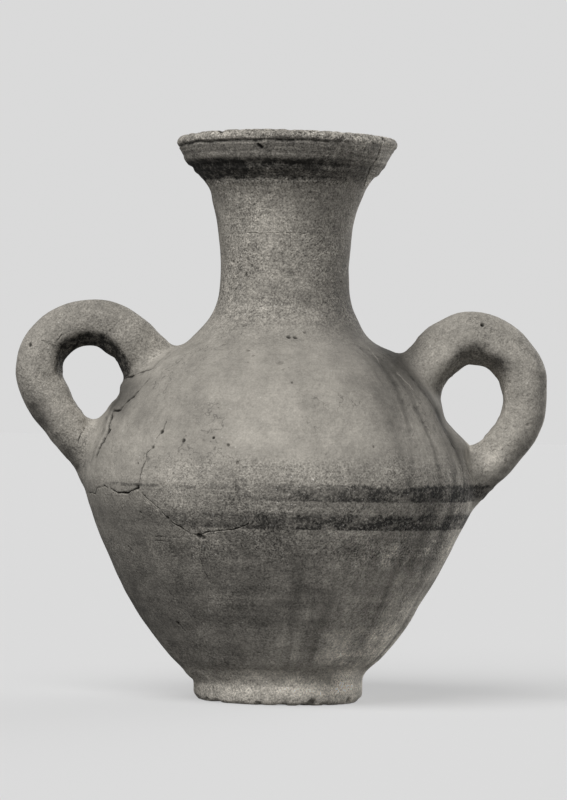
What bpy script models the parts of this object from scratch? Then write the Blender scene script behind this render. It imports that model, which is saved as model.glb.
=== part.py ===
"""Two-handled jar of fired clay, thrown on a wheel: a round body on a disc foot, a narrow neck
with a flared rim, and two loop handles luted on between the shoulder and the belly.

Units are metres and +Z is up. The foot stands on Z = 0, the axis of the wheel is the Z axis, and
the handles lie along X, the left one towards -X.
"""

import math
from collections import namedtuple

import bmesh
import bpy
from mathutils import Vector
from mathutils.geometry import interpolate_bezier

MM = 0.001

# Foot: a flat disc with a short upright side and a worn lower edge
FOOT_RADIUS = 22.8 * MM
FOOT_SIDE = 4.8 * MM
FOOT_EDGE_ROUND = 1.6 * MM
FOOT_NOTCH_RISE = 1.4 * MM
FOOT_NOTCH_STEP = 0.7 * MM

# Body, neck and rim: radii, and heights that each start from the one below
LOWER_BODY_RADIUS = 41.5 * MM
LOWER_BODY_ABOVE_FOOT = 23.8 * MM
BELLY_RADIUS = 52.8 * MM
BELLY_ABOVE_LOWER_BODY = 28.8 * MM
UPPER_BODY_RADIUS = 44.7 * MM
UPPER_BODY_ABOVE_BELLY = 20.2 * MM
SHOULDER_RADIUS = 28.5 * MM
SHOULDER_ABOVE_UPPER_BODY = 16.0 * MM
NECK_RADIUS = 17.35 * MM
NECK_ABOVE_SHOULDER = 20.8 * MM
FLARE_RADIUS = 21.4 * MM
FLARE_ABOVE_NECK = 22.4 * MM
RIM_UNDERSIDE_RADIUS = 27.5 * MM
RIM_UNDERSIDE_ABOVE_FLARE = 7.2 * MM
LIP_RADIUS = 29.6 * MM
LIP_ABOVE_UNDERSIDE = 4.9 * MM
LIP_ROUND = 1.75 * MM

# Thickness of the clay, square to the outside
LIP_WIDTH = 4.6 * MM
LIP_FLAT = 0.7 * MM
LIP_INNER_DROP = 2.4 * MM
NECK_WALL = 4.3 * MM
SHOULDER_WALL = 4.5 * MM
UPPER_BODY_WALL = 4.5 * MM
BELLY_WALL = 4.4 * MM
LOWER_BODY_WALL = 5.0 * MM
FOOT_WALL = 6.0 * MM
FLOOR_THICKNESS = 7.5 * MM

# Small faults of the throwing: the foot and the body are set a little off the neck's axis
FOOT_SHIFT = 0.65 * MM
BODY_SHIFT = -0.5 * MM

# Handles: thick rolls of clay, a little deeper from front to back than they are seen from the front
HANDLE_THICKNESS = 12.5 * MM
HANDLE_DEPTH_SHARE = 1.1
UPPER_ROOT_THICKNESS = 15.0 * MM
UPPER_ROOT_SINK = 6.0 * MM
LOWER_ROOT_SINK = 10.0 * MM
LOWER_ROOT_HEADING = 116.0
LOWER_ROOT_HALFWAY_SHARE = 0.9
LOWER_ROOT_END_SHARE = 0.6

# The left handle is the larger loop. Its reach and rise are those of the roll's middle line, from
# halfway between the handle's two roots.
LEFT_REACH = 22.0 * MM
LEFT_RISE = 23.0 * MM
LEFT_UPPER_ROOT_BELOW_SHOULDER = 5.4 * MM
LEFT_LOWER_ROOT_ABOVE_BELLY = 7.6 * MM
LEFT_LOWER_ROOT_THICKNESS = 14.2 * MM

# The right handle sits lower and has a peaked top
RIGHT_REACH = 20.6 * MM
RIGHT_RISE = 23.7 * MM
RIGHT_UPPER_ROOT_BELOW_SHOULDER = 6.6 * MM
RIGHT_LOWER_ROOT_ABOVE_BELLY = 3.2 * MM
RIGHT_LOWER_ROOT_THICKNESS = 12.0 * MM

# How finely the round shapes are divided
TURN_STEPS = 48
OUTSIDE_STEP = 4.8 * MM
INSIDE_STEP = 7.5 * MM
STEP_TURN = 24.0
HANDLE_SPAN_STEPS = 4
HANDLE_RING_DETAIL = 4
WELD_DISTANCE = 0.01 * MM
CUT_OVERSHOOT = 6.0 * MM

CLAY_COLOUR = (0.33, 0.28, 0.225, 1.0)
CLAY_ROUGHNESS = 0.88

# A place on an outline that is followed from the rim down. The heading is the way the outline runs
# there, in degrees: 0 is outwards, 90 is down and 180 is inwards. The pulls say how far the curve
# keeps to that heading before and after the place, as shares of the distance to its neighbour.
Station = namedtuple("Station", "radius height heading pull_before pull_after")

# A bend of a handle's middle line: how far out and up it is, as shares of the handle's reach and
# rise, and how thick the roll is there, as a share of the handles' thickness
Bend = namedtuple("Bend", "out up fullness")

# Where a handle is and how large it is. The side is -1 for the left and 1 for the right.
Handle = namedtuple("Handle", "name side upper_root lower_root lower_root_thickness reach rise bends")


def heading_direction(heading):
    angle = math.radians(heading)
    return Vector((math.cos(angle), 0.0, -math.sin(angle)))


def outside_direction(heading):
    angle = math.radians(heading)
    return Vector((math.sin(angle), 0.0, math.cos(angle)))


def station_place(station):
    return Vector((station.radius, 0.0, station.height))


def step_into_wall(station, wall):
    """The station of the inside that lies one wall behind a station of the outside."""
    place = station_place(station) - outside_direction(station.heading) * wall
    return station._replace(radius=place.x, height=place.z)


def smooth_outline(stations, longest_step):
    """Points down a smooth outline, closer together where it turns."""
    outline = [station_place(stations[0])]
    for upper, lower in zip(stations, stations[1:]):
        start = station_place(upper)
        end = station_place(lower)
        chord = (end - start).length
        turn = abs(lower.heading - upper.heading)
        steps = max(math.ceil(chord / longest_step), math.ceil(turn / STEP_TURN))
        leaving = start + heading_direction(upper.heading) * upper.pull_after * chord
        arriving = end - heading_direction(lower.heading) * lower.pull_before * chord
        outline += interpolate_bezier(start, leaving, arriving, end, steps + 1)[1:]
    return outline


def outside_stations():
    """The outside, from the crown of the lip down to the edge of the flat underside."""
    foot_top = FOOT_SIDE + FOOT_NOTCH_RISE
    lower_body = foot_top + LOWER_BODY_ABOVE_FOOT
    belly = lower_body + BELLY_ABOVE_LOWER_BODY
    upper_body = belly + UPPER_BODY_ABOVE_BELLY
    shoulder = upper_body + SHOULDER_ABOVE_UPPER_BODY
    neck = shoulder + NECK_ABOVE_SHOULDER
    flare = neck + FLARE_ABOVE_NECK
    rim_underside = flare + RIM_UNDERSIDE_ABOVE_FLARE
    lip = rim_underside + LIP_ABOVE_UNDERSIDE
    return {
        "crown": Station(LIP_RADIUS - LIP_ROUND, lip + LIP_ROUND, 0, 0.39, 0.39),
        "lip": Station(LIP_RADIUS, lip, 90, 0.39, 0.2),
        "rim underside": Station(RIM_UNDERSIDE_RADIUS, rim_underside, 122, 0.2, 0.3),
        "flare": Station(FLARE_RADIUS, flare, 118, 0.3, 0.14),
        "neck": Station(NECK_RADIUS, neck, 90, 0.4, 0.43),
        "shoulder": Station(SHOULDER_RADIUS, shoulder, 28, 0.35, 0.34),
        "upper body": Station(UPPER_BODY_RADIUS, upper_body, 61, 0.36, 0.36),
        "belly": Station(BELLY_RADIUS, belly, 90, 0.3, 0.24),
        "lower body": Station(LOWER_BODY_RADIUS, lower_body, 116, 0.32, 0.31),
        "foot top": Station(FOOT_RADIUS + FOOT_NOTCH_STEP, foot_top, 134, 0.3, 0.3),
        "foot side": Station(FOOT_RADIUS, FOOT_SIDE, 90, 0.3, 0.3),
        "foot edge": Station(FOOT_RADIUS, FOOT_EDGE_ROUND, 90, 0.3, 0.39),
        "underside": Station(FOOT_RADIUS - FOOT_EDGE_ROUND, 0.0, 180, 0.39, 0.0),
    }


def outside_outline():
    stations = list(outside_stations().values())
    outline = smooth_outline(stations, OUTSIDE_STEP)
    top_centre = Vector((0.0, 0.0, stations[0].height))
    bottom_centre = Vector((0.0, 0.0, 0.0))
    return [top_centre] + outline + [bottom_centre]


def inside_outline():
    """The hollow, from above the mouth down to the middle of the floor."""
    outside = outside_stations()
    crown = outside["crown"]
    mouth_edge = Station(crown.radius - LIP_FLAT, crown.height, 135, 0.3, 0.3)
    inner_lip = Station(LIP_RADIUS - LIP_WIDTH, crown.height - LIP_INNER_DROP, 105, 0.3, 0.25)
    floor_centre = Station(0.0, FLOOR_THICKNESS, 180, 0.5, 0.0)
    stations = [
        mouth_edge,
        inner_lip,
        step_into_wall(outside["flare"], NECK_WALL),
        step_into_wall(outside["neck"], NECK_WALL),
        step_into_wall(outside["shoulder"], SHOULDER_WALL),
        step_into_wall(outside["upper body"], UPPER_BODY_WALL),
        step_into_wall(outside["belly"], BELLY_WALL),
        step_into_wall(outside["lower body"], LOWER_BODY_WALL),
        step_into_wall(outside["foot top"], FOOT_WALL),
        floor_centre,
    ]
    above_mouth = station_place(mouth_edge) - heading_direction(mouth_edge.heading) * CUT_OVERSHOOT
    top_centre = Vector((0.0, 0.0, above_mouth.z))
    return [top_centre, above_mouth] + smooth_outline(stations, INSIDE_STEP)


def body_radius_at(height):
    """The radius of the body's outside at a height between its foot and its neck."""
    outline = outside_outline()
    body = [point for point in outline if point.z <= outside_stations()["neck"].height]
    for upper, lower in zip(body, body[1:]):
        if lower.z <= height < upper.z:
            share = (height - lower.z) / (upper.z - lower.z)
            return lower.x + share * (upper.x - lower.x)
    return BELLY_RADIUS


def new_collection(name):
    collection = bpy.data.collections.new(name)
    bpy.context.scene.collection.children.link(collection)
    return collection


def mark_as_cutter(tool):
    tool.hide_render = True
    tool.display_type = "WIRE"


def mesh_object_from(source, collection):
    """A mesh object with the source's evaluated shape, welded, in place of the source."""
    name = source.name
    source.name = name + "_guide"
    depsgraph = bpy.context.evaluated_depsgraph_get()
    mesh = bpy.data.meshes.new_from_object(source.evaluated_get(depsgraph))
    shape = bmesh.new()
    shape.from_mesh(mesh)
    bmesh.ops.remove_doubles(shape, verts=shape.verts, dist=WELD_DISTANCE)
    shape.to_mesh(mesh)
    shape.free()
    mesh.shade_smooth()
    made = bpy.data.objects.new(name, mesh)
    made.matrix_world = source.matrix_world
    collection.objects.link(made)
    bpy.data.objects.remove(source)
    return made


def turned_solid(name, outline, collection):
    """A solid turned about the Z axis from an outline that runs down its outer side."""
    mesh = bpy.data.meshes.new(name)
    edges = [(index, index + 1) for index in range(len(outline) - 1)]
    mesh.from_pydata(outline, edges, [])
    profile = bpy.data.objects.new(name, mesh)
    collection.objects.link(profile)
    turning = profile.modifiers.new("Turning", "SCREW")
    turning.axis = "Z"
    turning.angle = math.tau
    turning.steps = TURN_STEPS
    turning.render_steps = TURN_STEPS
    turning.use_merge_vertices = True
    turning.merge_threshold = WELD_DISTANCE
    return mesh_object_from(profile, collection)


def ease(start, end, value):
    """0 up to the start, 1 from the end on, and a smooth rise between them."""
    share = min(max((value - start) / (end - start), 0.0), 1.0)
    return share * share * (3.0 - 2.0 * share)


def throw_off_axis(solid):
    """Shifts the foot and the body sideways, as on the real jar."""
    heights = {name: station.height for name, station in outside_stations().items()}
    for vertex in solid.data.vertices:
        height = vertex.co.z
        onto_body = ease(heights["foot side"], heights["foot top"] + FOOT_NOTCH_RISE, height)
        onto_neck = ease(heights["upper body"], heights["shoulder"], height)
        vertex.co.x += FOOT_SHIFT * (1.0 - onto_body) + BODY_SHIFT * onto_body * (1.0 - onto_neck)


def handle_line(handle):
    """Places and thicknesses along a handle's middle line, from inside the shoulder to the belly."""
    upper_root = Vector((body_radius_at(handle.upper_root), 0.0, handle.upper_root))
    lower_root = Vector((body_radius_at(handle.lower_root), 0.0, handle.lower_root))
    halfway = (upper_root + lower_root) / 2.0
    bends = []
    for bend in handle.bends:
        place = halfway + Vector((bend.out * handle.reach, 0.0, bend.up * handle.rise))
        bends.append((place, bend.fullness * HANDLE_THICKNESS))
    into_shoulder = (upper_root - bends[0][0]).normalized() * UPPER_ROOT_SINK
    down_the_wall = heading_direction(LOWER_ROOT_HEADING) * LOWER_ROOT_SINK
    root_thickness = handle.lower_root_thickness
    return [
        (upper_root + into_shoulder, UPPER_ROOT_THICKNESS),
        (upper_root, UPPER_ROOT_THICKNESS),
        *bends,
        (lower_root, root_thickness),
        (lower_root + down_the_wall / 2.0, root_thickness * LOWER_ROOT_HALFWAY_SHARE),
        (lower_root + down_the_wall, root_thickness * LOWER_ROOT_END_SHARE),
    ]


def handle_solid(handle, collection):
    """A bent roll of clay whose flared upper end and thinned lower end run into the wall."""
    line = handle_line(handle)
    curve = bpy.data.curves.new(handle.name, "CURVE")
    curve.dimensions = "3D"
    curve.twist_mode = "MINIMUM"
    curve.bevel_depth = HANDLE_THICKNESS / 2.0
    curve.bevel_resolution = HANDLE_RING_DETAIL
    curve.use_fill_caps = True
    curve.resolution_u = HANDLE_SPAN_STEPS
    spline = curve.splines.new("BEZIER")
    spline.bezier_points.add(len(line) - 1)
    for knot, (place, thickness) in zip(spline.bezier_points, line):
        knot.co = Vector((place.x * handle.side, 0.0, place.z))
        knot.handle_left_type = "AUTO"
        knot.handle_right_type = "AUTO"
        knot.radius = thickness / HANDLE_THICKNESS
    roll = bpy.data.objects.new(handle.name, curve)
    roll.scale = (1.0, HANDLE_DEPTH_SHARE, 1.0)
    collection.objects.link(roll)
    bpy.context.view_layer.update()
    solid = mesh_object_from(roll, collection)
    mark_as_cutter(solid)
    return solid


def left_handle(collection):
    stations = outside_stations()
    handle = Handle(
        name="handle_left",
        side=-1.0,
        upper_root=stations["shoulder"].height - LEFT_UPPER_ROOT_BELOW_SHOULDER,
        lower_root=stations["belly"].height + LEFT_LOWER_ROOT_ABOVE_BELLY,
        lower_root_thickness=LEFT_LOWER_ROOT_THICKNESS,
        reach=LEFT_REACH,
        rise=LEFT_RISE,
        bends=[
            Bend(-0.09, 0.83, 1.04),
            Bend(0.405, 1.0, 0.96),
            Bend(0.877, 0.76, 0.985),
            Bend(1.0, 0.387, 1.03),
            Bend(0.823, -0.01, 0.975),
            Bend(0.586, -0.304, 0.92),
        ],
    )
    return handle_solid(handle, collection)


def right_handle(collection):
    stations = outside_stations()
    handle = Handle(
        name="handle_right",
        side=1.0,
        upper_root=stations["shoulder"].height - RIGHT_UPPER_ROOT_BELOW_SHOULDER,
        lower_root=stations["belly"].height + RIGHT_LOWER_ROOT_ABOVE_BELLY,
        lower_root_thickness=RIGHT_LOWER_ROOT_THICKNESS,
        reach=RIGHT_REACH,
        rise=RIGHT_RISE,
        bends=[
            Bend(-0.146, 0.81, 1.11),
            Bend(0.291, 1.0, 1.12),
            Bend(0.854, 0.751, 1.064),
            Bend(1.0, 0.405, 0.984),
            Bend(0.961, 0.101, 0.968),
            Bend(0.68, -0.312, 0.944),
        ],
    )
    return handle_solid(handle, collection)


def hollow(collection):
    """The space inside the jar, which is cut out last so that no handle reaches into it."""
    space = turned_solid("hollow", inside_outline(), collection)
    throw_off_axis(space)
    mark_as_cutter(space)
    return space


def join_or_cut(solid, tool, operation):
    step = solid.modifiers.new(operation.title() + " " + tool.name, "BOOLEAN")
    step.operation = operation
    step.solver = "EXACT"
    step.object = tool


def fired_clay():
    material = bpy.data.materials.new("fired_clay")
    material.use_nodes = True
    shader = material.node_tree.nodes["Principled BSDF"]
    shader.inputs["Base Color"].default_value = CLAY_COLOUR
    shader.inputs["Roughness"].default_value = CLAY_ROUGHNESS
    shader.inputs["Metallic"].default_value = 0.0
    return material


def build_vase():
    parts = new_collection("two-handled jar")
    cutters = new_collection("cutters")
    vase = turned_solid("vase", outside_outline(), parts)
    throw_off_axis(vase)
    vase.data.materials.append(fired_clay())
    join_or_cut(vase, left_handle(cutters), "UNION")
    join_or_cut(vase, right_handle(cutters), "UNION")
    join_or_cut(vase, hollow(cutters), "DIFFERENCE")


for old_object in list(bpy.data.objects):
    bpy.data.objects.remove(old_object)
build_vase()
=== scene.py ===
"""The looks of a two-handled jar of fired clay: its fine surface, wear, painted bands and light.

Sizes are in millimetres and become metres through MM. +Z is up, the axis of the wheel is the Z axis,
and the jar is seen from -Y. A bearing is an angle round the axis in degrees, 0 at the front and 90 at
the right. Places of marks on the front are given as they are seen from there: to the right of the
axis and up from the table.
"""

import math
import random
from collections import namedtuple

import bmesh
import bpy
import numpy as np
from mathutils import Matrix, Vector, noise
from mathutils.bvhtree import BVHTree
from mathutils.geometry import interpolate_bezier
from mathutils.kdtree import KDTree


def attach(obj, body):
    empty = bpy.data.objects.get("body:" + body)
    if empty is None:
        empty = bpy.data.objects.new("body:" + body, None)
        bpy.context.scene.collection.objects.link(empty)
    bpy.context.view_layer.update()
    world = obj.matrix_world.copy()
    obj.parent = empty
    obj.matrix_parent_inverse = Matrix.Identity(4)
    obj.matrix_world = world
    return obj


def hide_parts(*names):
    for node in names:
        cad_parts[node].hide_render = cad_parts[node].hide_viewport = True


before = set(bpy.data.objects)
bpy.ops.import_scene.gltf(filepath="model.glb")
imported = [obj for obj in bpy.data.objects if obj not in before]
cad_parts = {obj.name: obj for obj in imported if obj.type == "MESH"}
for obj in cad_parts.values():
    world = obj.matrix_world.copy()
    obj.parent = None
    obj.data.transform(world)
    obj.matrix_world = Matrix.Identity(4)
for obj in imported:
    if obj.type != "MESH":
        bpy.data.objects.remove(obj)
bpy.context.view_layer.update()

# Camera
# A long lens stands a little over a metre in front of the jar, level with its belly. It leans by a
# degree, so the jar seems to lean to the right.
MM = 0.001
CAMERA_DISTANCE = 1065 * MM
CAMERA_HEIGHT = 76.8 * MM
CAMERA_TO_THE_RIGHT = 0.4 * MM
CAMERA_LENS = 177.3
CAMERA_UPWARD_TILT = math.radians(0.225)
CAMERA_LEAN = math.radians(1.25)

camera = bpy.data.objects.new("camera", bpy.data.cameras.new("camera"))
bpy.context.scene.collection.objects.link(camera)
camera.data.lens = CAMERA_LENS
camera.location = (CAMERA_TO_THE_RIGHT, -CAMERA_DISTANCE, CAMERA_HEIGHT)
looking = Matrix.Rotation(math.pi / 2 + CAMERA_UPWARD_TILT, 4, "X") @ Matrix.Rotation(CAMERA_LEAN, 4, "Z")
camera.rotation_euler = looking.to_euler()
bpy.context.scene.camera = camera

# Body, neck, rim and foot
# One piece of buff clay thrown on a wheel, with a wall of 4 to 6 mm and a hollow that runs from the
# flared mouth to the floor. Its outline is followed from the crown of the rim down.
TURN_STEPS = 200
FLOOR_THICKNESS = 7.5
FOOT_SHIFT = 0.65
FOOT_SHIFT_TOP = 7.6
BODY_SHIFT = -0.5
UNDERSIDE_RINGS = 7
UNDERSIDE_RING_STEP = 3.0
WELD = 0.005 * MM

# The heading is the way the outline runs at a station: 0 outwards, 90 down and 180 inwards. The
# pulls say how far it keeps to that heading, as shares of the distance to its neighbour.
Station = namedtuple("Station", "radius height heading pull_before pull_after step")

OUTSIDE = {
    "crown": Station(27.85, 152.05, 0, 0.39, 0.39, 0.38),
    "lip": Station(29.6, 150.3, 90, 0.39, 0.2, 0.32),
    "rim underside": Station(27.5, 145.4, 122, 0.2, 0.3, 0.4),
    "flare": Station(21.4, 138.2, 118, 0.3, 0.14, 0.9),
    "neck": Station(17.35, 115.8, 90, 0.4, 0.43, 1.2),
    "shoulder": Station(28.4, 95.0, 28, 0.35, 0.34, 1.2),
    "upper body": Station(44.7, 79.0, 61, 0.36, 0.36, 1.2),
    "belly": Station(52.8, 58.8, 90, 0.3, 0.24, 1.2),
    "lower body": Station(41.5, 30.0, 116, 0.32, 0.31, 1.2),
    "foot top": Station(23.5, 6.2, 134, 0.3, 0.3, 0.4),
    "foot side": Station(22.8, 4.8, 90, 0.3, 0.3, 0.5),
    "foot edge": Station(22.8, 1.6, 90, 0.3, 0.39, 0.4),
    "underside": Station(21.2, 0.0, 180, 0.39, 0.0, 2.0),
}
MOUTH_EDGE = Station(27.0, 151.9, 170, 0.3, 0.3, 0.4)
INNER_LIP = Station(25.0, 149.6, 105, 0.3, 0.25, 1.0)
FLOOR_MIDDLE = Station(0.0, FLOOR_THICKNESS, 180, 0.5, 0.0, 1.0)
# How thick the wall is behind a station, and the step of the inside from there down
INSIDE = {
    "flare": (4.3, 2.0),
    "neck": (4.3, 2.2),
    "shoulder": (4.5, 3.5),
    "upper body": (4.5, 4.0),
    "belly": (4.4, 4.0),
    "lower body": (5.0, 4.0),
    "foot top": (6.0, 3.0),
}


def heading_direction(heading):
    angle = math.radians(heading)
    return Vector((math.cos(angle), 0.0, -math.sin(angle)))


def outside_direction(heading):
    angle = math.radians(heading)
    return Vector((math.sin(angle), 0.0, math.cos(angle)))


def station_place(station):
    return Vector((station.radius, 0.0, station.height))


def behind_the_wall(station, wall, step):
    """The station that lies one wall behind a station of the outside."""
    place = station_place(station) - outside_direction(station.heading) * wall
    return station._replace(radius=place.x, height=place.z, step=step)


def smooth_outline(stations):
    """Points down a smooth outline, a station's step apart from it to the next."""
    outline = [station_place(stations[0])]
    for upper, lower in zip(stations, stations[1:]):
        start = station_place(upper)
        end = station_place(lower)
        chord = (end - start).length
        leaving = start + heading_direction(upper.heading) * upper.pull_after * chord
        arriving = end - heading_direction(lower.heading) * lower.pull_before * chord
        outline += interpolate_bezier(start, leaving, arriving, end, math.ceil(chord / upper.step) + 1)[1:]
    return outline


def turned(outline, steps):
    """A closed shape turned about the Z axis from an outline whose ends lie on the axis."""
    shape = bmesh.new()
    places = [shape.verts.new(place * MM) for place in outline]
    edges = [shape.edges.new(pair) for pair in zip(places, places[1:])]
    bmesh.ops.spin(shape, geom=places + edges, cent=(0, 0, 0), axis=(0, 0, 1), angle=math.tau, steps=steps,
                   use_merge=True)
    bmesh.ops.remove_doubles(shape, verts=shape.verts, dist=WELD)
    bmesh.ops.recalc_face_normals(shape, faces=shape.faces)
    return shape


def smooth_share(start, end, values):
    """0 up to the start, 1 from the end on, and a smooth rise between them."""
    share = np.clip((np.asarray(values, float) - start) / (end - start), 0.0, 1.0)
    return share * share * (3.0 - 2.0 * share)


def throwing_shift(heights):
    """How far the foot and the body were thrown off the neck's axis, at given heights."""
    onto_body = smooth_share(OUTSIDE["foot side"].height, FOOT_SHIFT_TOP, heights)
    onto_neck = smooth_share(OUTSIDE["upper body"].height, OUTSIDE["shoulder"].height, heights)
    return FOOT_SHIFT * (1.0 - onto_body) + BODY_SHIFT * onto_body * (1.0 - onto_neck)


outside = smooth_outline(list(OUTSIDE.values()))
inside = smooth_outline(
    [MOUTH_EDGE, INNER_LIP]
    + [behind_the_wall(OUTSIDE[name], wall, step) for name, (wall, step) in INSIDE.items()]
    + [FLOOR_MIDDLE]
)
outside_heights = np.array([place.z for place in reversed(outside)])
outside_radii = np.array([place.x for place in reversed(outside)])


def outside_radius(heights):
    return np.interp(heights, outside_heights, outside_radii)


underside_rings = [Vector((ring * UNDERSIDE_RING_STEP, 0.0, 0.0)) for ring in range(UNDERSIDE_RINGS)]
body = turned(underside_rings + list(reversed(outside)) + inside, TURN_STEPS)

# Handles
# Two thick rolls of clay, bent into loops and luted on while damp. Their upper ends are butted on
# the shoulder and their lower ends are drawn out on the belly.
HANDLE_THICKNESS = 12.5
HANDLE_DEPTH_SHARE = 1.1
UPPER_ROOT_THICKNESS = 15.0
UPPER_ROOT_SINK = 6.0
LOWER_ROOT_SINK = 10.0
LOWER_ROOT_HEADING = 116.0
LOWER_ROOT_HALFWAY_SHARE = 0.9
LOWER_ROOT_END_SHARE = 0.6
ROLL_SPAN_STEPS = 9
ROLL_RING_DETAIL = 17
CORE_DEPTH = 2.8
CORE_OUTLINE_STEP = 3.0
CORE_STEPS = 72
CLAY_KINDS = ("body clay", "handle clay")

# A bend says how far out and up the middle line is, as shares of the handle's reach and rise, and
# how full the roll is there.
Bend = namedtuple("Bend", "out up fullness")
Handle = namedtuple("Handle", "name side upper_root lower_root lower_thickness reach rise bends")

LEFT_HANDLE = Handle(
    name="left handle", side=-1.0, upper_root=89.6, lower_root=66.4, lower_thickness=14.2,
    reach=22.0, rise=23.0,
    bends=[
        Bend(-0.09, 0.83, 1.04),
        Bend(0.405, 1.0, 0.96),
        Bend(0.877, 0.76, 0.985),
        Bend(1.0, 0.387, 1.03),
        Bend(0.823, -0.01, 0.975),
        Bend(0.586, -0.304, 0.92),
    ],
)
RIGHT_HANDLE = Handle(
    name="right handle", side=1.0, upper_root=88.4, lower_root=62.0, lower_thickness=12.0,
    reach=20.6, rise=23.7,
    bends=[
        Bend(-0.146, 0.81, 1.11),
        Bend(0.291, 1.0, 1.12),
        Bend(0.854, 0.751, 1.064),
        Bend(1.0, 0.405, 0.984),
        Bend(0.961, 0.101, 0.968),
        Bend(0.68, -0.312, 0.944),
    ],
)


def handle_line(handle):
    """Places and thicknesses along a handle's middle line, from inside the shoulder to the belly."""
    upper_root = Vector((float(outside_radius(handle.upper_root)), 0.0, handle.upper_root))
    lower_root = Vector((float(outside_radius(handle.lower_root)), 0.0, handle.lower_root))
    halfway = (upper_root + lower_root) / 2
    bends = []
    for bend in handle.bends:
        place = halfway + Vector((bend.out * handle.reach, 0.0, bend.up * handle.rise))
        bends.append((place, bend.fullness * HANDLE_THICKNESS))
    into_shoulder = (upper_root - bends[0][0]).normalized() * UPPER_ROOT_SINK
    down_the_wall = heading_direction(LOWER_ROOT_HEADING) * LOWER_ROOT_SINK
    return [
        (upper_root + into_shoulder, UPPER_ROOT_THICKNESS),
        (upper_root, UPPER_ROOT_THICKNESS),
        *bends,
        (lower_root, handle.lower_thickness),
        (lower_root + down_the_wall / 2, handle.lower_thickness * LOWER_ROOT_HALFWAY_SHARE),
        (lower_root + down_the_wall, handle.lower_thickness * LOWER_ROOT_END_SHARE),
    ]


def in_fixed_order(mesh):
    """The same mesh with its points and faces sorted, because joining shuffles them in each run."""
    order = sorted(range(len(mesh.vertices)), key=lambda index: tuple(mesh.vertices[index].co))
    rank = {index: count for count, index in enumerate(order)}
    faces = []
    for face in mesh.polygons:
        corners = [rank[index] for index in face.vertices]
        first = corners.index(min(corners))
        faces.append((corners[first:] + corners[:first], face.material_index))
    faces.sort()
    ordered = bpy.data.meshes.new(mesh.name)
    ordered.from_pydata([mesh.vertices[index].co for index in order], [], [corners for corners, _ in faces])
    for material in mesh.materials:
        ordered.materials.append(material)
    ordered.polygons.foreach_set("material_index", [kind for _, kind in faces])
    return ordered


def mesh_of(source):
    """The evaluated mesh of an object, in world places, welded and with its faces pointing out."""
    bpy.context.view_layer.update()
    joined = bpy.data.meshes.new_from_object(source.evaluated_get(bpy.context.evaluated_depsgraph_get()))
    mesh = in_fixed_order(joined)
    mesh.transform(source.matrix_world)
    shape = bmesh.new()
    shape.from_mesh(mesh)
    bmesh.ops.remove_doubles(shape, verts=shape.verts, dist=WELD)
    bmesh.ops.recalc_face_normals(shape, faces=shape.faces)
    shape.to_mesh(mesh)
    shape.free()
    return mesh


def roll_of_clay(handle):
    """A bent roll along the handle's middle line, a little deeper from front to back."""
    line = handle_line(handle)
    curve = bpy.data.curves.new(handle.name, "CURVE")
    curve.dimensions = "3D"
    curve.twist_mode = "MINIMUM"
    curve.bevel_depth = HANDLE_THICKNESS / 2 * MM
    curve.bevel_resolution = ROLL_RING_DETAIL
    curve.use_fill_caps = True
    curve.resolution_u = ROLL_SPAN_STEPS
    spline = curve.splines.new("BEZIER")
    spline.bezier_points.add(len(line) - 1)
    for knot, (place, thickness) in zip(spline.bezier_points, line):
        knot.co = Vector((place.x * handle.side, 0.0, place.z)) * MM
        knot.handle_left_type = "AUTO"
        knot.handle_right_type = "AUTO"
        knot.radius = thickness / HANDLE_THICKNESS
    roll = bpy.data.objects.new(handle.name + " line", curve)
    roll.scale = (1.0, HANDLE_DEPTH_SHARE, 1.0)
    bpy.context.scene.collection.objects.link(roll)
    made = bpy.data.objects.new(handle.name, mesh_of(roll))
    bpy.context.scene.collection.objects.link(made)
    bpy.data.objects.remove(roll)
    return made


def object_of(name, shape):
    mesh = bpy.data.meshes.new(name)
    shape.to_mesh(mesh)
    shape.free()
    made = bpy.data.objects.new(name, mesh)
    bpy.context.scene.collection.objects.link(made)
    return made


def shift_as_thrown(shape):
    heights = np.array([vertex.co.z / MM for vertex in shape.verts])
    for vertex, shift in zip(shape.verts, throwing_shift(heights)):
        vertex.co.x += shift * MM


def combine(piece, tool, operation):
    """Joins the tool to the piece, or cuts it out of the piece, and removes the tool."""
    step = piece.modifiers.new(operation, "BOOLEAN")
    step.operation = operation
    step.solver = "EXACT"
    step.object = tool
    joined = mesh_of(piece)
    piece.modifiers.clear()
    piece.data = joined
    bpy.data.objects.remove(tool)


# The rolls end inside the wall: a core as wide as the middle of the wall is cut out of them
core_line = smooth_outline([
    behind_the_wall(OUTSIDE[name], CORE_DEPTH, CORE_OUTLINE_STEP)
    for name in ("neck", "shoulder", "upper body", "belly", "lower body")
])
core_outline = [Vector((0.0, 0.0, core_line[0].z))] + core_line + [Vector((0.0, 0.0, core_line[-1].z))]
rolls = []
for handle in (LEFT_HANDLE, RIGHT_HANDLE):
    roll = roll_of_clay(handle)
    core = turned(core_outline, CORE_STEPS)
    shift_as_thrown(core)
    combine(roll, object_of("core", core), "DIFFERENCE")
    for face in roll.data.polygons:
        face.material_index = CLAY_KINDS.index("handle clay")
    rolls.append(roll)

# Luting
# The damp rolls are pressed and smeared onto the body, so each joint is a small rounded web of clay.
# The two kinds of face keep their own material index until the joints are found.
LUTE_REACHES = (7.0, 5.0, 3.2, 1.8)
LUTE_FINE_REACH = 2.6
LUTE_ROUNDS = 16
LUTE_SOFTENING = 0.5
LUTE_STEP = 0.9
LUTE_CLOSEST = 0.4
SPLIT_ROUNDS = 5

shift_as_thrown(body)
jar = object_of("fired_clay_jar", body)
for kind in CLAY_KINDS:
    jar.data.materials.append(bpy.data.materials.new(kind))
for roll in rolls:
    for material in jar.data.materials:
        roll.data.materials.append(material)
    combine(jar, roll, "UNION")

shape = bmesh.new()
shape.from_mesh(jar.data)


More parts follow.
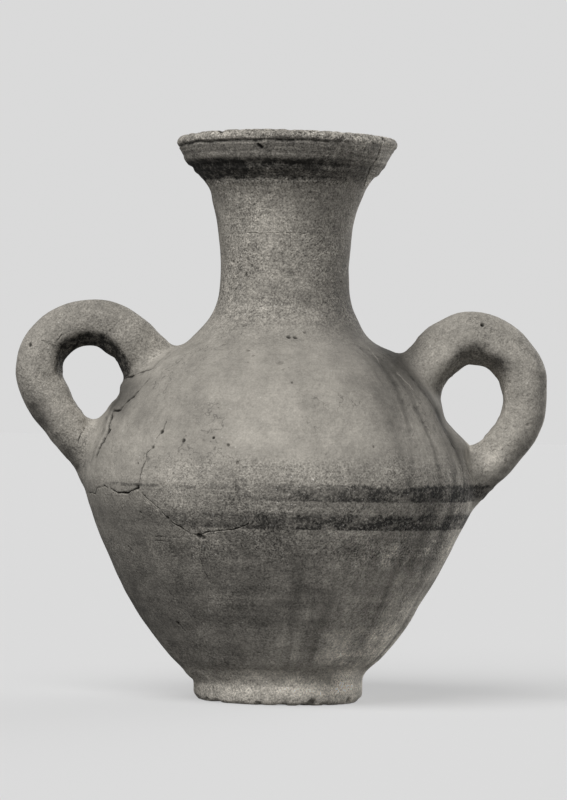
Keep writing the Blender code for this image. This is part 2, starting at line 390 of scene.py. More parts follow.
def tree_of(places):
    tree = KDTree(len(places))
    for index, place in enumerate(places):
        tree.insert(place, index)
    tree.balance()
    return tree


def split_long_edges(shape, places, reaches, steps):
    """Splits the edges within reach of the places in a few rounds, until none is longer than its step."""
    tree = tree_of(places)
    for _ in range(SPLIT_ROUNDS):
        long_edges = []
        for edge in shape.edges:
            middle = (edge.verts[0].co + edge.verts[1].co) / 2
            _, nearest, distance = tree.find(middle)
            length = edge.calc_length()
            if length > steps[nearest] and distance < reaches[nearest] + length / 2:
                long_edges.append(edge)
        if not long_edges:
            return
        bmesh.ops.subdivide_edges(shape, edges=long_edges, cuts=1, use_grid_fill=True)
        bmesh.ops.triangulate(shape, faces=[face for face in shape.faces if len(face.verts) > 4])


joint_edges = [
    edge for edge in shape.edges
    if len(edge.link_faces) == 2 and edge.link_faces[0].material_index != edge.link_faces[1].material_index
]
joint_places = [(edge.verts[0].co + edge.verts[1].co) / 2 for edge in joint_edges]
joint_places += [vertex.co.copy() for edge in joint_edges for vertex in edge.verts]
count = len(joint_places)
joints = tree_of(joint_places)
crowded = [vertex for vertex in shape.verts if joints.find(vertex.co)[2] < LUTE_REACHES[0] * MM]
bmesh.ops.remove_doubles(shape, verts=crowded, dist=LUTE_CLOSEST * MM)
split_long_edges(shape, joint_places, [LUTE_FINE_REACH * MM] * count, [LUTE_STEP * MM] * count)
for reach in LUTE_REACHES:
    smeared = [vertex for vertex in shape.verts if joints.find(vertex.co)[2] < reach * MM]
    for _ in range(LUTE_ROUNDS):
        bmesh.ops.smooth_vert(shape, verts=smeared, factor=LUTE_SOFTENING,
                              use_axis_x=True, use_axis_y=True, use_axis_z=True)
for face in shape.faces:
    face.material_index = CLAY_KINDS.index("body clay")

# Cracks and pits
# The jar was broken and mended: cracks run over its left side, beside the left handle and down the
# rim. Bits of lime and straw left pits, the edges are chipped, and dark streaks run down the sides.
# The streaks at the left handle's joints and down its outer side and the right handle's outer side are
# painted shade.
CLEAR_OF_THE_JAR = 500 * MM
CRACK_SAMPLE = 0.12
CRACK_WANDER = 0.18
CRACK_TREMOR_SIZE = 0.9
CRACK_BEND_SIZE = 3.5
CRACK_SWELL_SIZE = 1.6
CRACK_REACH = 0.4
CRACK_STEP = 0.25
STREAK_REACH = 1.0
STREAK_STEP = 0.8
GROOVE_LIMIT = 3.0
PIT_REACH_SHARE = 1.2
PIT_STEP_SHARE = 0.4
PIT_DIRT_AND_SHADE = 0.8
SCATTERED_PITS = 50
SCATTER_HEIGHTS = (8.0, 144.0)
SCATTER_RADII = (0.22, 0.5)
SCATTER_DEPTH_SHARES = (0.5, 1.0)
CHANCE_SEED = 7

# A mark is a place, or a line of places, as seen from the front or, for side -1, from behind, with
# the width and depth of its hollow. A streak's depth is the share by which it darkens the clay.
Crack = namedtuple("Crack", "places width depth side", defaults=(1,))
# A pit is darkened by a share of its own: dirt in it and painted shade of its hollow
Pit = namedtuple("Pit", "x z radius depth dirt side", defaults=(PIT_DIRT_AND_SHADE, 1))

CRACKS = [
    Crack([(-50.8, 55.1), (-49.1, 54.7), (-48.4, 56.7), (-46.4, 57.3), (-45.3, 56.6), (-44.2, 56.4)],
          0.42, 0.6),
    Crack([(-44.2, 56.4), (-42.7, 55.6), (-40.1, 55.5), (-38.2, 56.5), (-37.1, 57.3)], 0.48, 0.8),
    Crack([(-37.1, 57.3), (-36.6, 60.6), (-35.0, 64.6), (-34.8, 66.2), (-33.3, 67.8)], 0.3, 0.35),
    Crack([(-33.3, 67.8), (-32.4, 70.4), (-31.2, 71.8), (-30.0, 75.0)], 0.28, 0.3),
    Crack([(-37.1, 57.3), (-35.3, 54.9), (-31.0, 51.5), (-29.1, 49.4)], 0.28, 0.35),
    Crack([(-29.1, 49.4), (-26.1, 47.6), (-23.8, 45.9), (-20.9, 45.1)], 0.32, 0.45),
    Crack([(-20.9, 45.1), (-18.5, 46.1), (-15.7, 46.9), (-11.8, 47.2), (-7.9, 48.9)], 0.3, 0.35),
    Crack([(-20.9, 45.1), (-20.6, 43.0), (-20.4, 38.7), (-18.9, 35.5), (-17.4, 32.4)], 0.2, 0.2),
    Crack([(-29.2, 93.3), (-34.4, 88.6), (-37.5, 87.5), (-42.0, 86.0)], 0.4, 0.42),
    Crack([(-35.5, 85.8), (-37.1, 83.9), (-39.3, 81.5), (-41.2, 79.6), (-43.1, 77.0), (-44.4, 77.0)],
          0.7, 0.9),
    Crack([(-44.4, 77.0), (-45.6, 74.5), (-46.2, 71.0), (-47.8, 68.6), (-49.1, 65.1)], 1.5, 1.1),
    Crack([(-53.0, 72.6), (-53.9, 70.5), (-54.5, 67.8)], 0.26, 0.3),
    Crack([(25.6, 151.8), (24.4, 147.4), (23.8, 145.4), (22.4, 143.0), (21.4, 141.0), (20.2, 138.0)],
          0.55, 0.8),
    Crack([(-64.9, 95.5), (-61.4, 95.0), (-59.3, 97.5)], 0.18, 0.18),
    Crack([(-55.6, 101.4), (-52.9, 102.8), (-51.0, 102.0)], 0.18, 0.15),
    Crack([(-13.1, 125.5), (-6.7, 125.3), (0.0, 125.4), (5.5, 125.6)], 0.18, 0.16),
    Crack([(1.6, 125.4), (1.3, 123.3), (1.1, 121.2)], 0.18, 0.16),
    Crack([(-39.8, 41.3), (-39.0, 40.5)], 0.8, 0.8),
    Crack([(-26.2, 21.5), (-24.2, 19.2)], 0.6, 0.7),
    Crack([(-7.8, 147.9), (-6.8, 147.0)], 0.9, 0.9),
    Crack([(43.4, 73.8), (46.4, 68.4), (48.5, 63.1)], 0.36, 0.3),
    Crack([(-11.3, 59.9), (-11.2, 57.2)], 0.24, 0.2),
    Crack([(-32.5, 44.6), (-27.0, 44.4)], 0.2, 0.2),
    Crack([(-32.2, 43.5), (-27.3, 43.3)], 0.2, 0.15),
    Crack([(-52.0, 54.6), (-47.5, 53.0), (-39.0, 55.2), (-28.5, 51.0), (-17.0, 53.4), (-9.0, 50.2)],
          0.3, 0.35, -1),
    Crack([(-28.5, 51.0), (-26.0, 44.0), (-27.5, 37.5), (-23.0, 31.0)], 0.2, 0.2, -1),
]
PITS = [
    Pit(1.5, 97.6, 0.75, 0.7), Pit(3.2, 97.5, 0.7, 0.7),
    Pit(-9.1, 93.7, 0.45, 0.5), Pit(-7.7, 92.4, 0.4, 0.35), Pit(-9.0, 90.6, 0.3, 0.3),
    Pit(-0.6, 90.6, 1.1, 0.3), Pit(2.6, 85.4, 0.35, 0.4),
    Pit(-31.2, 71.8, 0.65, 0.6), Pit(-25.3, 69.8, 0.6, 0.6), Pit(-17.5, 70.7, 0.45, 0.6),
    Pit(-11.1, 64.4, 0.6, 0.4), Pit(-33.4, 67.8, 0.5, 0.5), Pit(-37.3, 63.4, 0.35, 0.4),
    Pit(-20.1, 69.9, 0.4, 0.25), Pit(-23.1, 64.9, 0.35, 0.3), Pit(-37.1, 57.2, 0.7, 0.8),
    Pit(-29.1, 49.6, 0.5, 0.5), Pit(-20.8, 45.2, 0.9, 0.6), Pit(-19.6, 44.7, 0.8, 0.4),
    Pit(-9.1, 151.6, 0.45, 0.5), Pit(-5.6, 151.7, 0.4, 0.5), Pit(3.4, 151.2, 0.5, 0.6),
    Pit(-17.5, 151.9, 1.1, 0.6), Pit(-68.2, 94.3, 0.6, 0.7), Pit(-46.5, 98.6, 0.35, 0.3),
    Pit(53.4, 102.4, 0.7, 0.9), Pit(66.3, 75.7, 0.5, 0.3), Pit(9.8, 0.6, 1.6, 1.1, 0.4),
    Pit(-4.5, 0.3, 0.9, 0.6, 0.3), Pit(-18.2, 0.5, 0.9, 0.7, 0.3), Pit(19.6, 1.0, 1.1, 0.7, 0.3),
    Pit(8.0, 128.6, 0.3, 0.3), Pit(-12.8, 117.4, 0.35, 0.4),
    Pit(18.7, 150.8, 1.3, 0.55, 0.0), Pit(6.6, 151.3, 0.9, 0.4, 0.0), Pit(11.4, 150.3, 1.1, 0.5, 0.1),
    Pit(14.6, 149.8, 0.8, 0.4, 0.2), Pit(21.8, 150.6, 1.0, 0.4, 0.1),
    Pit(12.0, 96.0, 0.6, 0.5, side=-1), Pit(-22.0, 80.0, 0.8, 0.6, side=-1),
    Pit(31.0, 38.0, 0.9, 0.6, side=-1),
]
SCRATCHES = [
    Crack([(22.9, 95.8), (25.2, 92.2), (26.8, 89.9)], 0.3, 0.08),
    Crack([(30.4, 88.9), (32.3, 86.8), (34.5, 83.9)], 0.6, 0.12),
    Crack([(37.7, 83.3), (40.6, 79.4), (42.7, 75.9)], 0.28, 0.08),
    Crack([(48.7, 66.1), (51.0, 61.5)], 0.4, 0.12),
    Crack([(36.5, 54.2), (35.5, 51.2)], 0.3, 0.08),
    Crack([(34.4, 39.8), (33.1, 38.4)], 0.5, 0.12),
    Crack([(37.4, 33.6), (35.2, 30.6)], 0.5, 0.12),
    Crack([(-18.3, 139.2), (-14.7, 137.4)], 0.35, 0.12),
    Crack([(-16.9, 136.6), (-15.0, 135.3)], 0.3, 0.1),
    Crack([(-11.9, 140.6), (-9.4, 139.7)], 0.5, 0.15),
    Crack([(-7.0, 139.9), (-4.5, 140.3)], 0.4, 0.12),
    Crack([(-9.6, 58.5), (-8.0, 57.2), (-6.0, 56.2)], 0.3, 0.08),
    Crack([(-36.6, 54.7), (-31.0, 50.9), (-26.4, 48.1), (-23.0, 45.7)], 0.28, 0.05),
]
# The first three streaks, at the left handle's joints and down its outer side, and the last, down the right
# handle's outer side, are painted shade; the others are dark strokes where the clay was smoothed
STREAKS_AND_PAINTED_SHADE = [
    Crack([(-41.0, 86.0), (-43.4, 81.0), (-45.2, 76.9), (-47.2, 72.6), (-48.9, 68.5), (-50.3, 64.4)],
          3.0, 0.3),
    Crack([(-30.4, 93.4), (-31.8, 91.9), (-34.8, 88.7), (-38.2, 86.7), (-41.0, 86.0)], 1.3, 0.28),
    Crack([(-68.0, 79.8), (-64.6, 74.2), (-60.4, 68.8), (-56.5, 64.5), (-53.0, 58.6)], 3.2, 0.3),
    Crack([(25.9, 92.0), (29.7, 86.4), (32.2, 78.8), (34.1, 70.1), (33.9, 60.1)], 1.7, 0.22),
    Crack([(26.7, 94.8), (32.4, 89.7), (39.0, 82.2), (43.6, 75.2), (46.2, 68.9)], 2.0, 0.28),
    Crack([(34.9, 80.1), (40.1, 70.1), (42.1, 60.1)], 1.8, 0.22),
    Crack([(45.4, 70.4), (48.3, 65.1), (49.0, 60.0), (48.4, 54.6)], 2.0, 0.32),
    Crack([(63.5, 98.5), (68.6, 93.5), (70.6, 86.0), (70.4, 79.0), (68.2, 72.5), (63.5, 66.0), (58.5, 60.5)],
          2.6, 0.26),
]

shape.normal_update()
skin = BVHTree.FromBMesh(shape)
noise.seed_set(CHANCE_SEED)
chance = random.Random(CHANCE_SEED)


def place_of_mark(x, z, side):
    """The place on the jar that is seen at x and z from the front, or from behind for side -1."""
    return skin.ray_cast(Vector((x * MM, -CLEAR_OF_THE_JAR * side, z * MM)), Vector((0.0, side, 0.0)))[0]


def place_round_the_wall(bearing, height):
    away = Vector((math.sin(math.radians(bearing)), -math.cos(math.radians(bearing)), 0.0))
    return skin.ray_cast(away * CLEAR_OF_THE_JAR + Vector((0.0, 0.0, height * MM)), -away)[0]


def crack_samples(crack):
    """Places a short way apart along a wandering crack, with how wide and deep it is there."""
    samples = []
    for start, end in zip(crack.places, crack.places[1:]):
        start = Vector((start[0], 0.0, start[1]))
        end = Vector((end[0], 0.0, end[1]))
        count = max(int((end - start).length / CRACK_SAMPLE), 2)
        for index in range(count):
            place = start.lerp(end, index / count)
            wander = noise.noise_vector(place / CRACK_TREMOR_SIZE)
            wander += noise.noise_vector(place / CRACK_BEND_SIZE) * 2
            place += wander * CRACK_WANDER
            found = place_of_mark(place.x, place.z, crack.side)
            swell = 0.85 + 0.8 * noise.noise(place / CRACK_SWELL_SIZE)
            if found is not None:
                samples.append((found, crack.width / 2 * swell, crack.depth * swell))
    return samples


crack_marks = [sample for crack in CRACKS for sample in crack_samples(crack)]
scratch_marks = [sample for scratch in SCRATCHES for sample in crack_samples(scratch)]
streak_and_shade_marks = [sample for streak in STREAKS_AND_PAINTED_SHADE for sample in crack_samples(streak)]
pit_marks = [(place_of_mark(pit.x, pit.z, pit.side), pit.radius, pit.depth, pit.dirt) for pit in PITS]
for _ in range(SCATTERED_PITS):
    place = place_round_the_wall(chance.uniform(0.0, 360.0), chance.uniform(*SCATTER_HEIGHTS))
    radius = chance.uniform(*SCATTER_RADII)
    pit_marks.append((place, radius, radius * chance.uniform(*SCATTER_DEPTH_SHARES), PIT_DIRT_AND_SHADE))

count = len(streak_and_shade_marks)
streak_places = [place for place, _, _ in streak_and_shade_marks]
split_long_edges(shape, streak_places, [STREAK_REACH * MM] * count, [STREAK_STEP * MM] * count)
line_marks = crack_marks + scratch_marks
fine_places = [place for place, *_ in line_marks + pit_marks]
fine_reaches = [CRACK_REACH * MM] * len(line_marks)
fine_reaches += [radius * PIT_REACH_SHARE * MM for _, radius, _, _ in pit_marks]
fine_steps = [CRACK_STEP * MM] * len(line_marks)
fine_steps += [max(radius * PIT_STEP_SHARE, CRACK_STEP) * MM for _, radius, _, _ in pit_marks]
split_long_edges(shape, fine_places, fine_reaches, fine_steps)

# Surface
# What the potter's hands, the wheel and the wear left: faint rings, swellings and dents, grooves
# under the rim, worn edges, and strokes where the clay beside the right handle was smoothed.
WIDE_LUMP_SIZE = 17.0
WIDE_LUMP_RISE = 0.14
SMALL_LUMP_SIZE = 6.0
SMALL_LUMP_RISE = 0.06
WHEEL_RING_SIZE = 3.4
WHEEL_RING_RISE = 0.11
INSIDE_RING_SIZE = 6.0
INSIDE_RING_RISE = 0.45
HANDLE_LUMP_SIZE = 9.0
HANDLE_LUMP_RISE = 0.26
HANDLE_DIMPLE_SIZE = 3.4
HANDLE_DIMPLE_RISE = 0.09
LOOP_LINE_STEPS = 8
CREASE_ANGLE = 44.0
CREASE_ANGLE_UNDER_ARCH = 36.0
CREASE_RISE = 0.75
CREASE_HOLLOW = 0.35
STROKE_WIDTH = 4.6
STROKE_LENGTH = 30.0
STROKE_RISE = 0.2
UNDERCUT_HEIGHT = 149.1
UNDERCUT_DEPTH = 0.6
TURNED_GROOVE_HEIGHT = 143.5
TURNED_GROOVE_DEPTH = 0.55
TURNED_RIDGE_HEIGHT = 142.2
TURNED_RIDGE_RISE = 0.26
TURNED_LINES_HEIGHTS = (144.6, 148.6)
TURNED_LINE_SIZE = 0.9
TURNED_LINE_RISE = 0.16
TORN_EDGE_HEIGHT = 139.5
TORN_EDGE_RISE = 0.5
LIP_CHIP_DEPTH = 0.4
FOOT_CHIP_DEPTH = 0.8
HIGH_FOOT_HEIGHT = 8.0
HIGH_FOOT_DEPTH = 1.1
STREAK_HOLLOW_SHARE = 0.4
RIM_WARP = 0.22
RIM_TILT = 0.06

# A swelling, or a dent where the amount is below 0, lies at x and z over a reach, in front and behind
Swelling = namedtuple("Swelling", "x z reach amount")

SWELLINGS = [
    Swelling(-42.5, 83.6, 4.0, 1.25), Swelling(-46.4, 78.4, 5.0, 1.15), Swelling(-49.2, 75.2, 4.0, 1.7),
    Swelling(-52.2, 95.0, 6.5, 0.4), Swelling(-47.6, 92.6, 5.0, 0.55), Swelling(-43.8, 88.4, 3.5, 0.4),
    Swelling(-32.0, 96.5, 5.0, 0.8), Swelling(-60.5, 105.1, 8.0, -0.1), Swelling(-58.1, 83.4, 6.0, 0.55),
    Swelling(-71.2, 82.0, 6.0, -0.25), Swelling(-64.3, 71.0, 5.5, -0.55), Swelling(-58.0, 68.0, 5.0, -0.3),
    Swelling(-54.2, 58.0, 3.0, 0.4), Swelling(-50.7, 50.1, 9.0, -0.5), Swelling(-47.5, 41.0, 11.0, -0.25),
    Swelling(44.6, 86.2, 4.5, -0.45), Swelling(45.2, 76.8, 5.0, -1.0), Swelling(50.3, 70.6, 4.8, 1.3),
    Swelling(59.2, 85.5, 8.0, 0.4), Swelling(71.6, 82.5, 7.0, -0.4), Swelling(64.8, 66.6, 6.5, -0.5),
    Swelling(59.0, 60.0, 4.5, 0.2), Swelling(56.8, 57.2, 4.0, 0.35), Swelling(51.6, 50.5, 6.0, 0.6),
    Swelling(52.5, 91.5, 4.5, 0.45), Swelling(54.5, 71.5, 2.8, 0.2), Swelling(67.5, 97.0, 6.0, -0.25),
    Swelling(25.0, 9.0, 4.5, -0.4), Swelling(-23.3, 6.0, 2.8, 0.4), Swelling(-22.0, 0.3, 1.8, -0.4),
    Swelling(-24.8, 142.2, 2.4, -0.15), Swelling(29.0, 151.2, 3.0, 0.2), Swelling(-52.3, 72.0, 2.8, -0.5),
    Swelling(-53.4, 75.2, 3.5, 0.4), Swelling(39.0, 101.0, 5.0, 0.35), Swelling(33.5, 95.3, 4.0, 0.3),
    Swelling(47.8, 43.0, 5.0, -0.3), Swelling(39.0, 27.0, 9.0, -0.7), Swelling(45.5, 36.0, 7.0, -0.2),
    Swelling(27.8, 147.0, 5.0, -0.8), Swelling(23.5, 142.0, 4.0, -0.4), Swelling(-29.4, 150.0, 3.0, 0.3),
    Swelling(-26.5, 144.4, 3.5, 0.25), Swelling(-21.3, 137.6, 4.5, -0.4), Swelling(-18.4, 105.5, 8.0, -0.35),
    Swelling(18.4, 106.5, 6.0, -0.25), Swelling(18.2, 128.5, 9.0, -0.45), Swelling(48.0, 105.0, 5.0, 0.1),
    Swelling(66.0, 80.0, 6.0, -0.2), Swelling(30.0, 94.6, 4.0, 0.4), Swelling(23.1, 98.5, 7.0, -0.5),
    Swelling(-26.5, 95.9, 4.0, -0.4), Swelling(23.2, 0.0, 2.4, -0.7),
]

shape.verts.ensure_lookup_table()
shape.normal_update()
places = np.array([vertex.co for vertex in shape.verts]) / MM
normals = np.array([vertex.normal for vertex in shape.verts])
heights = places[:, 2]
from_axis = places[:, 0] - throwing_shift(heights)
radii = np.hypot(from_axis, places[:, 1])
bearings = np.degrees(np.arctan2(from_axis, -places[:, 1]))
beyond_wall = radii - outside_radius(heights)
on_handle = smooth_share(0.4, 1.6, beyond_wall) * smooth_share(50.0, 56.0, heights)
in_hollow = smooth_share(1.2, 2.4, -beyond_wall) * smooth_share(4.0, 6.0, heights)
on_outside = (1.0 - on_handle) * (1.0 - in_hollow)


def lumps(size, variant=0.0):
    """Smooth noise from about -1 to 1 at each place, with lumps of about a size."""
    shift = Vector((variant * 7.3, variant * 3.1, variant * 5.7))
    return np.array([noise.noise(place / size + shift) for place in map(Vector, places)])


def rings(size, variant, lean):
    """Noise drawn out round the jar, in rings about a size apart that climb a little as they turn."""
    turns = bearings / 360.0
    climb = (heights + lean * turns) / size
    around = np.stack([np.cos(math.tau * turns) / 2, np.sin(math.tau * turns) / 2, climb])
    return np.array([noise.noise(Vector(place) + Vector((variant, 0.0, 0.0))) for place in around.T])


def bump_at(middle, half_width, values):
    """1 where the values are at the middle, fading to 0 at a half width from it."""
    return smooth_share(1.0, 0.0, np.abs(values - middle) / half_width)


def rolled_line(handle):
    """The middle line of a handle to look up places on, and the middle of its loop, both in mm."""
    line = [Vector((place.x * handle.side, 0.0, place.z)) for place, _ in handle_line(handle)[1:-2]]
    fine_line = []
    for start, end in zip(line, line[1:]):
        fine_line += [start.lerp(end, step / LOOP_LINE_STEPS) for step in range(LOOP_LINE_STEPS)]
    return tree_of(fine_line), sum(line, Vector()) / len(line)


def within(low, high, soft, values):
    """1 between low and high, fading to 0 over a soft distance beyond them."""
    return smooth_share(low - soft, low, values) * smooth_share(high + soft, high, values)


# How far a place on a handle is turned from the side that faces the middle of the loop, in degrees
loop_lines = {-1: rolled_line(LEFT_HANDLE), 1: rolled_line(RIGHT_HANDLE)}
turned_away = np.full(len(places), 180.0)
under_the_arch = np.zeros(len(places))
for index in np.flatnonzero(on_handle > 0.01):
    place = Vector(places[index])
    line, middle = loop_lines[1 if place.x > 0 else -1]
    nearest = Vector(line.find(place)[0])
    inwards = (middle - nearest).normalized()
    offset = place - nearest
    turned_away[index] = math.degrees(math.atan2(abs(offset.y), offset.dot(inwards)))
    under_the_arch[index] = max(-inwards.z, 0.0)

body_lumps = WIDE_LUMP_RISE * lumps(WIDE_LUMP_SIZE) + SMALL_LUMP_RISE * lumps(SMALL_LUMP_SIZE, 1.0)
relief = on_outside * body_lumps
turned_wall = within(10.0, 137.0, 4.0, heights)
relief += on_outside * WHEEL_RING_RISE * rings(WHEEL_RING_SIZE, 0.0, 1.5) * turned_wall
handle_lumps = HANDLE_LUMP_RISE * lumps(HANDLE_LUMP_SIZE, 2.0)
relief += on_handle * (handle_lumps + HANDLE_DIMPLE_RISE * lumps(HANDLE_DIMPLE_SIZE, 3.0))
crease = turned_away - CREASE_ANGLE - CREASE_ANGLE_UNDER_ARCH * under_the_arch + 9.0 * lumps(4.0, 11.0)
clear_of_ends = smooth_share(3.5, 8.0, beyond_wall) * on_handle
folded = CREASE_RISE * bump_at(4.0, 28.0, crease) - CREASE_HOLLOW * bump_at(-34.0, 30.0, crease)
relief += clear_of_ends * folded
relief += in_hollow * INSIDE_RING_RISE * rings(INSIDE_RING_SIZE, 20.0, 6.0)
for swelling in SWELLINGS:
    away = np.hypot(places[:, 0] - swelling.x, heights - swelling.z)
    relief += (1.0 - in_hollow) * swelling.amount * smooth_share(1.0, 0.0, away / swelling.reach)

# Strokes down the shoulder and the belly beside the right handle, and on the lower body
stroked = smooth_share(5.0, 0.5, beyond_wall) * (1.0 - in_hollow) * within(42.0, 84.0, 12.0, bearings)
stroked *= within(14.0, 94.0, 6.0, heights)
stroked_below = on_outside * within(12.0, 84.0, 14.0, bearings) * within(12.0, 42.0, 5.0, heights)
stroked = np.maximum(stroked, stroked_below)
strokes = np.array([noise.noise(Vector((bearing / STROKE_WIDTH, height / STROKE_LENGTH, 0.0)))
                    for bearing, height in zip(bearings, heights)])
relief += stroked * STROKE_RISE * strokes

# Under the lip a thin undercut, then turned lines, a groove, a ridge and the torn edge of the overhang
front_left = within(-75.0, 15.0, 25.0, bearings)
wavering = lumps(5.0, 4.0)
undercut = bump_at(UNDERCUT_HEIGHT + 0.3 * wavering, 0.6, heights) * (0.35 + 0.65 * front_left)
turned_groove = bump_at(TURNED_GROOVE_HEIGHT + 0.15 * wavering, 0.9, heights)
turned_groove *= 0.35 + 0.65 * within(-80.0, 20.0, 30.0, bearings)
turned_ridge = bump_at(TURNED_RIDGE_HEIGHT + 0.2 * wavering, 0.9, heights)
lined = within(*TURNED_LINES_HEIGHTS, 0.5, heights)
turned_lines = rings(TURNED_LINE_SIZE, 31.0, 0.5) * lined
torn_edge = TORN_EDGE_HEIGHT + 0.7 * lumps(3.2, 5.0)
torn = smooth_share(torn_edge + 0.4, torn_edge - 0.2, heights) * smooth_share(133.5, 138.5, heights)
torn *= within(-75.0, 20.0, 20.0, bearings)
standing = TORN_EDGE_RISE * torn * (1.0 + 0.6 * lumps(1.6, 12.0))
relief += on_outside * (standing + TURNED_RIDGE_RISE * turned_ridge + TURNED_LINE_RISE * turned_lines)
relief -= on_outside * (UNDERCUT_DEPTH * undercut + TURNED_GROOVE_DEPTH * turned_groove)

# Worn lip and foot edge, and a foot whose wall stands higher in front than on its left
lip = smooth_share(149.0, 149.8, heights) * smooth_share(25.5, 27.5, radii)
large_chips = LIP_CHIP_DEPTH * np.clip(lumps(2.4, 6.0), 0.0, 1.0)
relief -= lip * (large_chips + LIP_CHIP_DEPTH * np.clip(lumps(1.1, 7.0), 0.0, 1.0))
foot_edge = smooth_share(2.4, 0.6, heights) * smooth_share(19.5, 21.5, radii)
relief -= foot_edge * FOOT_CHIP_DEPTH * np.clip(lumps(3.0, 8.0) - 0.1, 0.0, 1.0)
high_foot = within(-45.0, 62.0, 25.0, bearings) + 0.45 * within(-125.0, -88.0, 18.0, bearings)
relief -= on_outside * bump_at(HIGH_FOOT_HEIGHT, 3.2, heights) * HIGH_FOOT_DEPTH * high_foot


def grooves(marks):
    """How deep each place lies in the grooves along some marks, and how far inside one it is."""
    tree = tree_of([place for place, _, _ in marks])
    depths = np.zeros(len(places))
    shares = np.zeros(len(places))
    for index, place in enumerate(places):
        _, nearest, distance = tree.find(Vector(place) * MM)
        if distance < GROOVE_LIMIT * MM:
            _, half_width, depth = marks[nearest]
            across = distance / MM / half_width
            depths[index] = depth * float(smooth_share(1.6, 0.3, across))
            shares[index] = float(smooth_share(1.8, 0.5, across))
    return depths, shares


crack_depths, gaps = grooves(crack_marks)
scratch_depths, scratches = grooves(scratch_marks)
streaks_and_painted_shade, _ = grooves(streak_and_shade_marks)
relief -= crack_depths + scratch_depths + STREAK_HOLLOW_SHARE * streaks_and_painted_shade
# Cracks and pits are darkened through their gap share, the deeper the darker: dirt in them and painted shade
# of their hollows
gaps *= np.clip(0.5 + crack_depths, 0.0, 1.0)
raggedness = 1.0 + 0.3 * lumps(0.9, 9.0)
for place, radius, depth, dirt in pit_marks:
    away = np.linalg.norm(places - np.array(place) / MM, axis=1) / (radius * raggedness)
    relief -= depth * smooth_share(1.25, 0.3, away)
    gaps = np.maximum(gaps, smooth_share(1.1, 0.5, away) * min(depth / 0.6, 1.0) * dirt)

for vertex, place, normal, push in zip(shape.verts, places, normals, relief):
    vertex.co = Vector(place + normal * push) * MM
warp = RIM_WARP * np.cos(np.radians(2 * bearings)) + RIM_TILT * np.sin(np.radians(bearings))
warp *= smooth_share(143.0, 149.0, heights)
for vertex, upwards in zip(shape.verts, warp):
    vertex.co.z += upwards * MM
bmesh.ops.triangulate(shape, faces=shape.faces, quad_method="SHORT_EDGE", ngon_method="BEAUTY")
for face in shape.faces:
    face.smooth = True
shape.to_mesh(jar.data)
shape.free()

# Grit and tones
# The clay is coarser at the neck, the rim and the belly, and pale at the lip and the foot. Under the
# rim it is darker, partly soot and partly painted shade of the overhang, the undercut and the groove,
# and inside the loops it is darker with painted shade. The mesh carries these shares to its material.
PLAIN_COARSENESS = 0.3
NECK_COARSENESS = 0.45
LIP_COARSENESS = 0.8
RIM_COARSENESS = 0.55
BELLY_COARSENESS = 0.6
BELOW_BANDS_COARSENESS = 0.3
LOOP_COARSENESS = 0.7
LEFT_HANDLE_COARSENESS = 0.42
RIGHT_HANDLE_COARSENESS = 0.28
SHOULDER_SMOOTHNESS = 0.3
MOST_COARSENESS = 1.3
# Darker under the rim: under its overhang and on its down-turned face partly soot and partly painted shade,
# a painted shadow in the undercut under the lip, and painted shade in the turned groove
OVERHANG_SOOT_AND_SHADE = 0.38
OVERHANG_SOOT_AND_SHADE_IN_FRONT = 0.25
OVERHANG_SOOT_AND_SHADE_AT_LEFT = 0.16
RIM_FACE_SOOT_AND_SHADE = 0.22
UNDERCUT_PAINTED_SHADOW = 0.7
TURNED_GROOVE_PAINTED_SHADE = 0.4
# Painted shade on the undersides inside the loops, darkest under the right handle's arch
LEFT_LOOP_PAINTED_SHADE = 0.79
RIGHT_LOOP_PAINTED_SHADE = 0.1
RIGHT_ARCH_PAINTED_SHADE = 0.22
MOST_SOOT_AND_SHADE = 0.88
SHERD_EDGE_X = 20.2
SHERD_EDGE_FOOT = 138.0
SHERD_EDGE_SLOPE = 0.39
SHERD_PALENESS = 0.38
MOST_PALENESS = 0.6
MOST_STREAK_AND_SHADE = 0.5
LEAST_SEEN_SHARE = 0.25

# Where the clay in front is painted paler or darker, by a share of its tone that fades over the patch.
# Most patches are painted shade and painted light: shade on the lower body and the lower left, on the
# right side of the neck and shoulder, on the shadow sides and corners of the loops and under the rim at
# the left, and painted light on the lower right, beside the right handle's lower root and at the foot.
# The others are the clay's own tone.
Patch = namedtuple("Patch", "x z wide high change")

